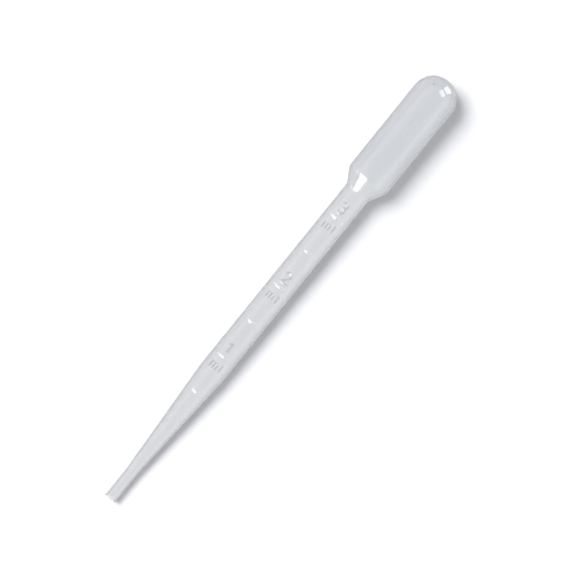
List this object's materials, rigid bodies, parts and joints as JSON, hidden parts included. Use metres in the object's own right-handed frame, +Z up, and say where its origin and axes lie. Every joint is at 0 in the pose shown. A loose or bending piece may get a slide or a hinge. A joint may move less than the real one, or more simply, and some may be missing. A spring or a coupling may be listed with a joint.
{
  "type": "dropper pipette",
  "caption": "One-piece blown plastic dropper pipette: hollow squeeze bulb, straight stem with raised graduations, and a tapered open tip.",
  "frame": {"origin": "centre of the bounding box's underside, on the surface that the pipette lies on", "axes": "+X along the pipette's length towards the bulb, +Z up from the surface it lies on, with the raised graduations on top; +Y completes the right-handed frame"},
  "size_m": [0.1548, 0.0134, 0.0145],
  "materials": {
    "polyethylene": "natural translucent low-density polyethylene, blown, satin"
  },
  "bodies": {
    "root": {"pipette": "polyethylene"}
  },
  "joints": []
}
